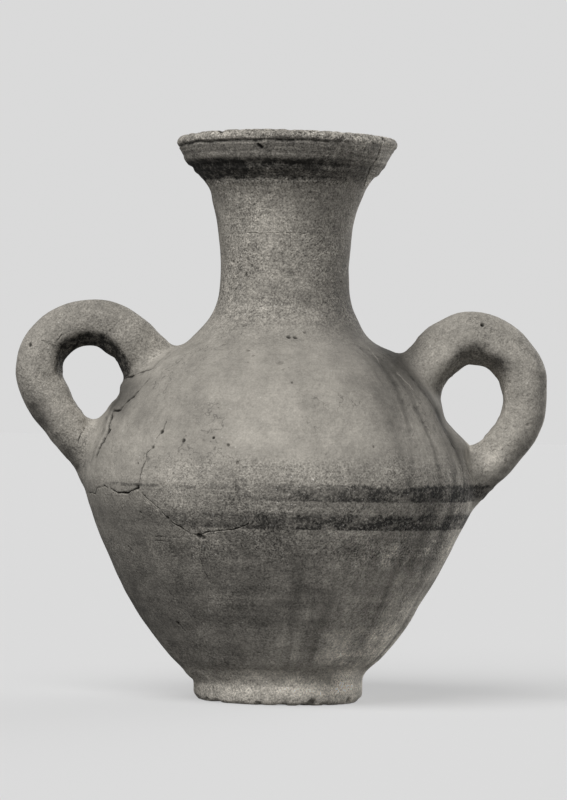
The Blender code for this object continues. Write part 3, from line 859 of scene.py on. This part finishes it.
SHADE_LIGHT_AND_TONE_PATCHES = [
    Patch(-36.0, 30.0, 26.0, 34.0, -0.46), Patch(-8.0, 36.0, 26.0, 24.0, -0.42),
    Patch(46.0, 38.0, 22.0, 40.0, 0.5), Patch(30.0, 16.0, 20.0, 20.0, 1.0),
    Patch(-20.0, 16.0, 18.0, 16.0, -0.3), Patch(2.0, 14.0, 14.0, 12.0, 0.3),
    Patch(17.0, 106.0, 10.0, 24.0, -0.42), Patch(-4.0, 130.0, 18.0, 12.0, 0.25),
    Patch(2.0, 76.0, 30.0, 26.0, 0.24), Patch(30.0, 94.0, 15.0, 24.0, -0.74),
    Patch(38.0, 58.0, 12.0, 12.0, -0.3), Patch(44.0, 76.0, 9.0, 24.0, -0.2),
    Patch(0.0, 4.5, 20.0, 5.0, 0.7), Patch(16.0, 4.0, 16.0, 8.0, 0.5),
    Patch(-67.0, 72.0, 7.0, 12.0, -0.6), Patch(-59.0, 61.0, 8.0, 9.0, -0.5),
    Patch(-60.0, 84.0, 10.0, 20.0, 0.25), Patch(64.0, 84.0, 14.0, 30.0, 0.3),
    Patch(58.0, 66.0, 9.0, 10.0, 0.35), Patch(-54.0, 74.0, 8.0, 10.0, 0.3),
    Patch(-38.0, 80.0, 9.0, 10.0, -0.2), Patch(-20.0, 142.0, 16.0, 5.0, -0.35),
    Patch(-2.0, 120.0, 14.0, 24.0, 0.16), Patch(0.0, 108.5, 22.0, 5.0, -0.14),
    Patch(0.0, 90.0, 18.0, 12.0, -0.1), Patch(22.0, 76.0, 12.0, 12.0, 0.08),
    Patch(-28.0, 60.0, 14.0, 10.0, 0.2), Patch(38.0, 54.0, 14.0, 5.0, -0.2),
    Patch(47.0, 44.0, 6.0, 9.0, 0.14), Patch(0.0, 26.0, 16.0, 14.0, -0.18),
    Patch(17.0, 14.0, 9.0, 9.0, 0.55), Patch(-15.0, 4.0, 10.0, 5.0, 0.14),
    Patch(-54.0, 101.0, 16.0, 9.0, -0.14), Patch(-59.0, 78.0, 8.0, 9.0, 0.12),
    Patch(-35.0, 93.0, 9.0, 9.0, 0.16), Patch(41.0, 92.0, 9.0, 9.0, 0.5),
    Patch(58.5, 92.8, 4.5, 4.5, -0.45), Patch(49.4, 68.0, 3.0, 8.0, 0.3),
    Patch(50.6, 70.4, 2.4, 4.5, 0.5), Patch(-41.2, 83.0, 4.5, 5.5, -0.55),
    Patch(-43.8, 78.8, 4.5, 5.5, -0.55), Patch(20.0, 41.0, 24.0, 18.0, 0.24),
    Patch(-66.5, 90.0, 7.0, 13.0, 0.14), Patch(58.0, 66.0, 6.0, 6.0, 0.35),
    Patch(21.0, 148.0, 10.0, 5.0, 0.16),
]

at_left = places[:, 0] < 0.0
overhang = smooth_share(torn_edge - 0.2, torn_edge + 0.5, heights) * smooth_share(145.2, 144.0, heights)
# The sides of the loops that face down and into the loop, which are darkened with painted shade
loop_side = on_handle * smooth_share(0.8, 2.5, beyond_wall) * smooth_share(4.0, -7.0, crease)
loop_side *= smooth_share(0.35, -0.2, normals[:, 2])

coarse = PLAIN_COARSENESS + NECK_COARSENESS * within(104.0, 140.0, 6.0, heights)
coarse += LIP_COARSENESS * smooth_share(149.0, 150.0, heights)
coarse += BELLY_COARSENESS * within(42.0, 63.0, 4.0, heights) * within(-25.0, 70.0, 20.0, bearings)
coarse *= 1.0 - on_handle
coarse += np.where(at_left, LEFT_HANDLE_COARSENESS, RIGHT_HANDLE_COARSENESS) * on_handle
below_bands_coarse = BELOW_BANDS_COARSENESS * smooth_share(46.0, 40.0, heights)
coarse += on_outside * (RIM_COARSENESS * within(139.0, 150.0, 1.0, heights) + below_bands_coarse)
coarse += LOOP_COARSENESS * loop_side
coarse -= SHOULDER_SMOOTHNESS * on_outside * within(64.0, 92.0, 10.0, heights)
coarse *= 1.0 + 0.5 * lumps(9.0, 10.0)

overhang_soot_and_shade = OVERHANG_SOOT_AND_SHADE + OVERHANG_SOOT_AND_SHADE_IN_FRONT * front_left
overhang_soot_and_shade += OVERHANG_SOOT_AND_SHADE_AT_LEFT * within(-90.0, -35.0, 25.0, bearings)
right_arch = within(50.0, 61.0, 4.0, places[:, 0]) * smooth_share(87.0, 91.0, heights)
right_loop_painted_shade = RIGHT_LOOP_PAINTED_SHADE + RIGHT_ARCH_PAINTED_SHADE * right_arch
# Soot and painted shade under the overhang and on the rim face, stronger in front and at the left, a painted
# shadow in the undercut and painted shade in the turned groove
soot_and_painted_shade = on_outside * (overhang_soot_and_shade * overhang + RIM_FACE_SOOT_AND_SHADE * lined + UNDERCUT_PAINTED_SHADOW * undercut)
soot_and_painted_shade += on_outside * TURNED_GROOVE_PAINTED_SHADE * turned_groove
# Painted shade on the undersides inside the loops
soot_and_painted_shade += loop_side * np.where(at_left, LEFT_LOOP_PAINTED_SHADE, right_loop_painted_shade)
sherd_edge = SHERD_EDGE_X + (heights - SHERD_EDGE_FOOT) * SHERD_EDGE_SLOPE
rim_sherd = smooth_share(-0.1, 0.5, places[:, 0] - sherd_edge) * within(137.0, 149.5, 1.5, heights)
rim_sherd *= on_outside
soot_and_painted_shade -= SHERD_PALENESS * rim_sherd * smooth_share(0.0, -4.0, places[:, 1])

pale = on_outside * 0.6 * smooth_share(9.5, 6.0, heights) + (0.15 + 0.5 * lumps(1.8, 18.0)) * lip
shade = (1.0 + np.clip(-soot_and_painted_shade, 0.0, MOST_PALENESS)) * (1.0 + pale)
shade *= 1.0 + stroked * (0.7 * np.minimum(strokes, 0.15) - 0.04)
# The patches of painted shade, painted light and tone count in full on the front and by a quarter behind
seen_share = LEAST_SEEN_SHARE + (1.0 - LEAST_SEEN_SHARE) * smooth_share(9.0, 1.0, places[:, 1])
for patch in SHADE_LIGHT_AND_TONE_PATCHES:
    away = np.hypot((places[:, 0] - patch.x) / patch.wide, (heights - patch.z) / patch.high)
    shade *= 1.0 + patch.change * seen_share * smooth_share(1.0, 0.0, away)
# Pale scratches, and dark streaks, of which those by the handles are painted shade
shade *= (1.0 + 0.7 * scratches * (1.0 - gaps)) * (1.0 - np.clip(streaks_and_painted_shade, 0.0, MOST_STREAK_AND_SHADE))
below_bands = on_outside * smooth_share(50.0, 42.0, heights)
below_bands_mottle = 0.3 * lumps(8.0, 21.0) + 0.22 * lumps(3.2, 22.0) + 0.2 * rings(1.8, 41.0, 1.0)
shade *= 1.0 + below_bands * below_bands_mottle

wheel_marks = (1.0 - on_handle) * (0.1 + 0.3 * coarse + 0.5 * within(140.0, 148.8, 1.0, heights))
carried = {
    "gap": gaps,
    # Soot and painted shade under the rim, painted shade inside the loops
    "soot_and_painted_shade": np.clip(soot_and_painted_shade, 0.0, MOST_SOOT_AND_SHADE),
    "shade": shade,
    "coarse": np.clip(coarse, 0.0, MOST_COARSENESS),
    "stroked": stroked,
    "wheel_marks": wheel_marks,
}
for name, values in carried.items():
    attribute = jar.data.attributes.new(name, "FLOAT", "POINT")
    attribute.data.foreach_set("value", values.astype(np.float32))
jar.data.materials.clear()

# Fired clay
# A matt grey-buff clay with lime and sand in it. Two bands of dark slip run round the belly, worn
# away in places, and the pits and cracks are darkened with dirt and with painted shade of their hollows.
CLAY_BRIGHTNESS = 0.30
BAND_BRIGHTNESS = 0.035
LIME_BRIGHTNESS = 0.62
LIME_SPECK_SIZE = 0.55
LIME_SPECK_LIMIT = 0.76
LIME_SPECK_SHARE = 0.75
CLOUD_SWING = 0.22
PATCH_SWING = 0.44
STROKE_SWING = 0.22
CRACK_TONE = 0.12
HAIRLINE_TONE = 0.62
DARKEST_SOOT_AND_SHADE_TONE = 0.1
SHEEN = 0.25
BUMP_DEPTH = 1.0 * MM

# Each edge of a band fades in between two heights, the outer one first
UPPER_BAND_EDGES = ((54.6, 55.0), (59.9, 58.7))
THIN_LINE_EDGES = ((57.4, 57.7), (58.5, 58.2))
LOWER_BAND_EDGES = ((47.2, 47.6), (52.3, 50.6))

# How much of a band is left round the jar, as bearings and shares
UPPER_BAND_KEPT = [
    (-180, 0.6), (-110, 0.5), (-75, 0.15), (-20, 0.1), (-4, 0.35), (8, 0.75), (60, 0.9), (110, 0.8),
    (180, 0.6),
]
LOWER_BAND_KEPT = [
    (-180, 0.7), (-100, 0.5), (-60, 0.2), (-38, 0.3), (-28, 0.65), (10, 0.85), (50, 1.0), (110, 0.8),
    (180, 0.7),
]
THIN_LINE_KEPT = [(-180, 0.2), (-64, 0.1), (-52, 0.6), (-30, 0.45), (4, 0.3), (180, 0.2)]

clay = bpy.data.materials.new("fired_clay")
clay.use_nodes = True
nodes = clay.node_tree.nodes
links = clay.node_tree.links
surface = nodes["Principled BSDF"]


def add_node(kind, **settings):
    node = nodes.new(kind)
    for name, value in settings.items():
        setattr(node, name, value)
    return node


def feed(socket, value):
    """Links an output to a socket, or sets the socket to a plain value."""
    if isinstance(value, bpy.types.NodeSocket):
        links.new(value, socket)
    else:
        socket.default_value = value


def calculate(operation, first, second=0.0, clamp=False):
    node = add_node("ShaderNodeMath", operation=operation, use_clamp=clamp)
    feed(node.inputs[0], first)
    feed(node.inputs[1], second)
    return node.outputs[0]


def product(*factors):
    result = factors[0]
    for factor in factors[1:]:
        result = calculate("MULTIPLY", result, factor)
    return result


def spread(value, low, high, to_low=0.0, to_high=1.0):
    """Maps a value from one range to another, smoothly and without leaving the second range."""
    node = add_node("ShaderNodeMapRange", interpolation_type="SMOOTHSTEP")
    for socket, number in zip(node.inputs[:5], (value, low, high, to_low, to_high)):
        feed(socket, number)
    return node.outputs[0]


def around_one(value, amount):
    """A factor that swings about 1 by an amount, as a noise swings about a half."""
    swing = calculate("MULTIPLY", calculate("SUBTRACT", value, 0.5), 2.0)
    return calculate("MAXIMUM", calculate("ADD", calculate("MULTIPLY", swing, amount), 1.0), 0.05)


def grain_at(vector, scale, detail, roughness):
    node = add_node("ShaderNodeTexNoise")
    feed(node.inputs["Vector"], vector)
    node.inputs["Scale"].default_value = scale
    node.inputs["Detail"].default_value = detail
    node.inputs["Roughness"].default_value = roughness
    return node.outputs["Fac"]


def grain(size, detail=2.0, roughness=0.5, flat=1.0, variant=0.0):
    """Noise with lumps of about a size in millimetres, and drawn out level by the factor flat."""
    mapping = add_node("ShaderNodeMapping")
    mapping.inputs["Location"].default_value = (variant, variant, variant)
    if flat == 1.0:
        mapping.inputs["Rotation"].default_value = (0.6 + variant, 0.4, 0.9 + variant)
    mapping.inputs["Scale"].default_value = (1.0 / flat, 1.0 / flat, 1.0)
    links.new(object_place, mapping.inputs["Vector"])
    return grain_at(mapping.outputs["Vector"], 1.0 / (size * MM), detail, roughness)


def blend(share, first, second):
    node = add_node("ShaderNodeMix", data_type="RGBA")
    feed(node.inputs["Factor"], share)
    feed(node.inputs[6], first)
    feed(node.inputs[7], second)
    return node.outputs[2]


def clay_tone(brightness, warmth=1.0):
    """A colour of the clay: a grey of a brightness, a little warm."""
    return (brightness, brightness * (1.0 - 0.065 * warmth), brightness * (1.0 - 0.175 * warmth), 1.0)


def attribute_of(name):
    return add_node("ShaderNodeAttribute", attribute_name=name).outputs["Fac"]


object_place = add_node("ShaderNodeTexCoord").outputs["Object"]
parts_of_place = add_node("ShaderNodeSeparateXYZ")
links.new(object_place, parts_of_place.inputs[0])
height_mm = calculate("MULTIPLY", parts_of_place.outputs["Z"], 1.0 / MM)
towards_front = calculate("MULTIPLY", parts_of_place.outputs["Y"], -1.0)
bearing = calculate("ARCTAN2", parts_of_place.outputs["X"], towards_front)
bearing_share = calculate("DIVIDE", bearing, math.tau)

wide_clouds = grain(26.0, 3.0)
patches = grain(7.0, 4.0, 0.6, variant=3.0)
mottle = grain(1.5, 3.0, 0.6, variant=7.0)
grit = grain(0.5, 3.0, 0.7, variant=11.0)
wheel_lines = grain(0.5, 3.0, 0.6, flat=30.0, variant=1.0)
stroke_place = add_node("ShaderNodeCombineXYZ")
feed(stroke_place.inputs[0], calculate("MULTIPLY", bearing_share, 360.0))
feed(stroke_place.inputs[1], calculate("MULTIPLY", height_mm, 0.05))
fine_strokes = grain_at(stroke_place.outputs[0], 0.9, 2.0, 0.6)

# Fine hairlines in worn patches, and soot and painted shade in blotches
worn_patch = spread(grain(15.0, 2.0, 0.5, variant=21.0), 0.5, 0.6)
off_hairline = calculate("ABSOLUTE", calculate("SUBTRACT", grain(5.5, 3.0, 0.6, variant=19.0), 0.5))
hairlines = product(spread(off_hairline, 0.02, 0.0), worn_patch)
soot_and_shade_blotches = spread(grain(2.0, 4.0, 0.7, variant=23.0), 0.36, 0.62, 0.65, 1.3)
sooted_and_shaded = calculate("SUBTRACT", 1.0, calculate("MULTIPLY", attribute_of("soot_and_painted_shade"), soot_and_shade_blotches))

coarse_share = attribute_of("coarse")
stroked_share = attribute_of("stroked")
speckle = around_one(grit, calculate("ADD", calculate("MULTIPLY", coarse_share, 1.8), 0.4))
tone = product(
    around_one(wide_clouds, CLOUD_SWING),
    around_one(patches, PATCH_SWING),
    around_one(grain(3.2, 3.0, 0.6, variant=17.0), calculate("MULTIPLY", coarse_share, 0.4)),
    around_one(mottle, calculate("ADD", calculate("MULTIPLY", coarse_share, 0.5), 0.25)),
    speckle,
    around_one(wheel_lines, attribute_of("wheel_marks")),
    around_one(fine_strokes, calculate("MULTIPLY", stroked_share, STROKE_SWING)),
    # Tone from the mesh, with its patches of painted shade and painted light in front
    attribute_of("shade"),
    # Cracks and pits darkened with dirt and with painted shade of their hollows
    spread(attribute_of("gap"), 0.0, 1.0, 1.0, CRACK_TONE),
    spread(hairlines, 0.0, 1.0, 1.0, HAIRLINE_TONE),
    # Soot and painted shade under the rim, painted shade inside the loops
    calculate("MAXIMUM", sooted_and_shaded, DARKEST_SOOT_AND_SHADE_TONE),
)

plain_clay = clay_tone(CLAY_BRIGHTNESS)
band_slip = clay_tone(BAND_BRIGHTNESS, 0.7)
lime = clay_tone(LIME_BRIGHTNESS, 0.5)

# The bands: where they lie, how ragged their edges are, and how much of them is left round the jar
ragged = calculate("MULTIPLY", calculate("SUBTRACT", grain(1.3, 3.0, 0.65, variant=5.0), 0.5), 4.0)
band_height = calculate("ADD", height_mm, calculate("MULTIPLY", ragged, 0.3))
worn_height = calculate("ADD", height_mm, ragged)


def band_between(edges, upper_edge_height):
    """Where a band lies. Its upper edge follows a height of its own, because it is worn more."""
    lower_edge, upper_edge = edges
    return product(spread(band_height, *lower_edge), spread(upper_edge_height, *upper_edge))


def kept_round_the_jar(stops):
    """How much of a band is left, by bearing, from stops of (bearing, share)."""
    ramp = add_node("ShaderNodeValToRGB")
    ramp.color_ramp.interpolation = "EASE"
    elements = ramp.color_ramp.elements
    while len(elements) < len(stops):
        elements.new(0.5)
    for element, (bearing, share) in zip(elements, stops):
        element.position = bearing / 360.0 + 0.5
        element.color = (share, share, share, 1.0)
    feed(ramp.inputs[0], calculate("ADD", bearing_share, 0.5))
    return ramp.outputs["Color"]


upper_band = band_between(UPPER_BAND_EDGES, worn_height)
thin_line = band_between(THIN_LINE_EDGES, band_height)
lower_band = band_between(LOWER_BAND_EDGES, worn_height)
upper_kept = kept_round_the_jar(UPPER_BAND_KEPT)
lower_kept = kept_round_the_jar(LOWER_BAND_KEPT)
line_kept = kept_round_the_jar(THIN_LINE_KEPT)
flaked = spread(grain(0.9, 3.0, 0.75, variant=9.0), 0.4, 0.52, 0.45, 1.0)
flaked = product(flaked, spread(grain(4.5, 3.0, 0.65, flat=2.0, variant=15.0), 0.36, 0.56, 0.4, 1.15))
painted = calculate("MAXIMUM", product(upper_band, upper_kept), product(lower_band, lower_kept))
painted = calculate("MAXIMUM", painted, product(thin_line, line_kept))
painted = calculate("MULTIPLY", painted, flaked, clamp=True)

speck_noise = grain(LIME_SPECK_SIZE, 1.0, 0.5, variant=13.0)
speck_limit = calculate("SUBTRACT", LIME_SPECK_LIMIT, calculate("MULTIPLY", coarse_share, 0.06))
specks = calculate("MULTIPLY", calculate("SUBTRACT", speck_noise, speck_limit), 14.0, clamp=True)

colour = blend(painted, plain_clay, band_slip)
colour = blend(calculate("MULTIPLY", specks, LIME_SPECK_SHARE), colour, lime)
toned = add_node("ShaderNodeMix", data_type="RGBA", blend_type="MULTIPLY")
toned.inputs["Factor"].default_value = 1.0
feed(toned.inputs[6], colour)
feed(toned.inputs[7], tone)
feed(surface.inputs["Base Color"], toned.outputs[2])
surface.inputs["Metallic"].default_value = 0.0
surface.inputs["Specular IOR Level"].default_value = SHEEN
feed(surface.inputs["Roughness"], spread(mottle, 0.3, 0.7, 0.82, 0.95))

relief_height = product(grit, calculate("ADD", calculate("MULTIPLY", coarse_share, 0.3), 0.08))
relief_height = calculate("ADD", relief_height, calculate("MULTIPLY", mottle, 0.3))
relief_height = calculate("ADD", relief_height, product(wheel_lines, attribute_of("wheel_marks"), 0.2))
relief_height = calculate("ADD", relief_height, product(fine_strokes, stroked_share, 0.12))
bump = add_node("ShaderNodeBump")
bump.inputs["Strength"].default_value = 1.0
bump.inputs["Distance"].default_value = BUMP_DEPTH
feed(bump.inputs["Height"], relief_height)
feed(surface.inputs["Normal"], bump.outputs["Normal"])
jar.data.materials.append(clay)

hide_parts("vase")
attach(jar, "root")

# Floor and light
# A plain pale floor under a pale surround, one broad soft light from above and the left of the
# front, and a broader, low one from behind at the right.
FLOOR_RADIUS = 12000 * MM
PAPER_SEEN = 0.26
PAPER_BOUNCE = 0.28
PAPER_GLOW = 0.44
BACKDROP_TONE = 0.70
AROUND_TONE = 0.10

floor_shape = bmesh.new()
bmesh.ops.create_circle(floor_shape, cap_ends=True, segments=96, radius=FLOOR_RADIUS)
floor = object_of("floor", floor_shape)
paper = bpy.data.materials.new("pale_paper")
paper.use_nodes = True
paper_nodes = paper.node_tree.nodes
paper_links = paper.node_tree.links
paper_surface = paper_nodes["Principled BSDF"]
paper_ray = paper_nodes.new("ShaderNodeLightPath")
paper_tone = paper_nodes.new("ShaderNodeMix")
paper_tone.data_type = "RGBA"
paper_tone.inputs[6].default_value = (PAPER_BOUNCE, PAPER_BOUNCE, PAPER_BOUNCE, 1.0)
paper_tone.inputs[7].default_value = (PAPER_SEEN, PAPER_SEEN, PAPER_SEEN, 1.0)
paper_links.new(paper_ray.outputs["Is Camera Ray"], paper_tone.inputs["Factor"])
paper_links.new(paper_tone.outputs[2], paper_surface.inputs["Base Color"])
paper_links.new(paper_ray.outputs["Is Camera Ray"], paper_surface.inputs["Emission Strength"])
paper_surface.inputs["Emission Color"].default_value = (PAPER_GLOW, PAPER_GLOW, PAPER_GLOW, 1.0)
paper_surface.inputs["Roughness"].default_value = 1.0
paper_surface.inputs["Specular IOR Level"].default_value = 0.0
floor.data.materials.append(paper)


def sun(name, strength, spread_angle, bearing, elevation):
    """A broad light from a bearing round the jar and an elevation, both in degrees."""
    light = bpy.data.lights.new(name, "SUN")
    light.energy = strength
    light.angle = math.radians(spread_angle)
    lamp = bpy.data.objects.new(name, light)
    turn = math.radians(bearing)
    rise = math.radians(elevation)
    towards = Vector((math.sin(turn) * math.cos(rise), -math.cos(turn) * math.cos(rise), math.sin(rise)))
    lamp.rotation_euler = towards.to_track_quat("Z", "Y").to_euler()
    bpy.context.scene.collection.objects.link(lamp)


sun("soft light from above", strength=3.2, spread_angle=45.0, bearing=-27.0, elevation=50.0)
sun("low light from behind", strength=3.4, spread_angle=60.0, bearing=138.0, elevation=3.0)

world = bpy.data.worlds.new("pale surround")
bpy.context.scene.world = world
world.use_nodes = True
sky = world.node_tree.nodes["Background"]
seen = world.node_tree.nodes.new("ShaderNodeLightPath")
tones = world.node_tree.nodes.new("ShaderNodeMix")
tones.data_type = "FLOAT"
tones.inputs[2].default_value = AROUND_TONE
tones.inputs[3].default_value = BACKDROP_TONE
world.node_tree.links.new(seen.outputs["Is Camera Ray"], tones.inputs["Factor"])
world.node_tree.links.new(tones.outputs[0], sky.inputs["Strength"])
sky.inputs["Color"].default_value = (1.0, 1.0, 1.0, 1.0)
bpy.context.scene.view_settings.view_transform = "Standard"
